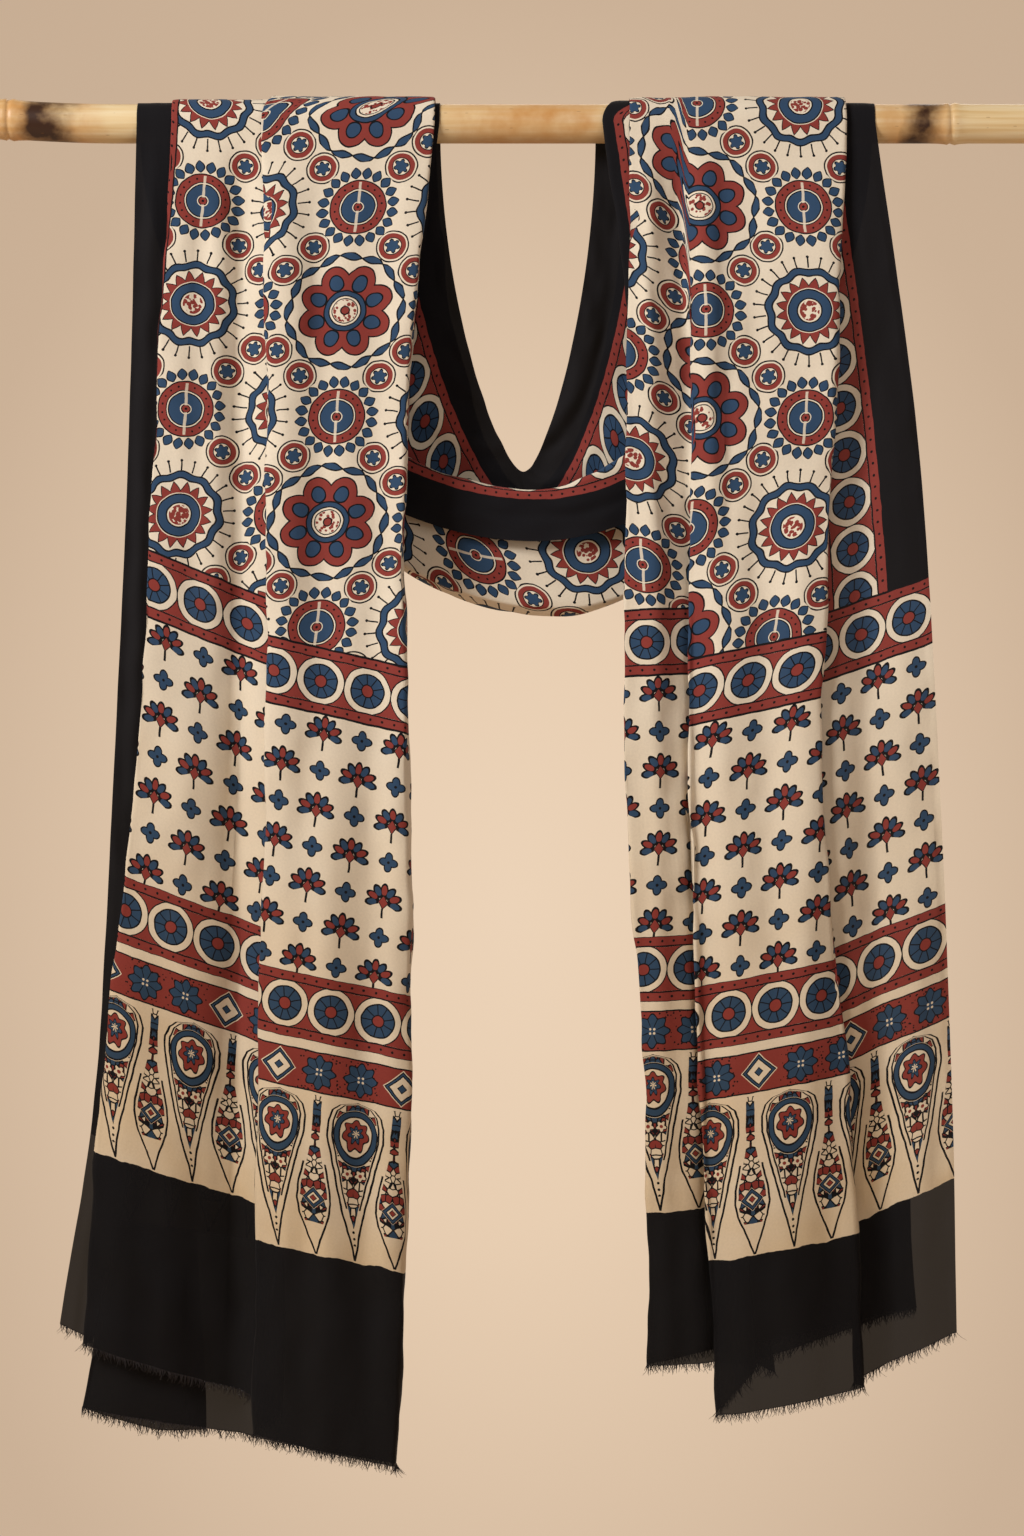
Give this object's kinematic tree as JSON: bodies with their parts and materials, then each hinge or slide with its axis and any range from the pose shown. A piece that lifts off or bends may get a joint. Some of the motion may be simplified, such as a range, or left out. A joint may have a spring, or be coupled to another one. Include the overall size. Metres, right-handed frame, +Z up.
{
  "type": "ajrakh cloth draped over a bamboo rod",
  "caption": "Long printed ajrakh cloth thrown over a bamboo rod, with both ends hanging in front and a swag behind.",
  "frame": {"origin": "on the axis of the bamboo rod, in the middle of the rod's length", "axes": "+X along the rod to the viewer's right, +Y away from the viewer, +Z up"},
  "size_m": [0.8, 0.0972, 0.913],
  "materials": {
    "printed_cotton": "plain-woven cotton, block printed, matt with a soft sheen",
    "bamboo": "flame-marked bamboo skin, satin"
  },
  "bodies": {
    "root": {"ajrakh_cloth": "printed_cotton", "bamboo_rod": "bamboo"}
  },
  "joints": []
}
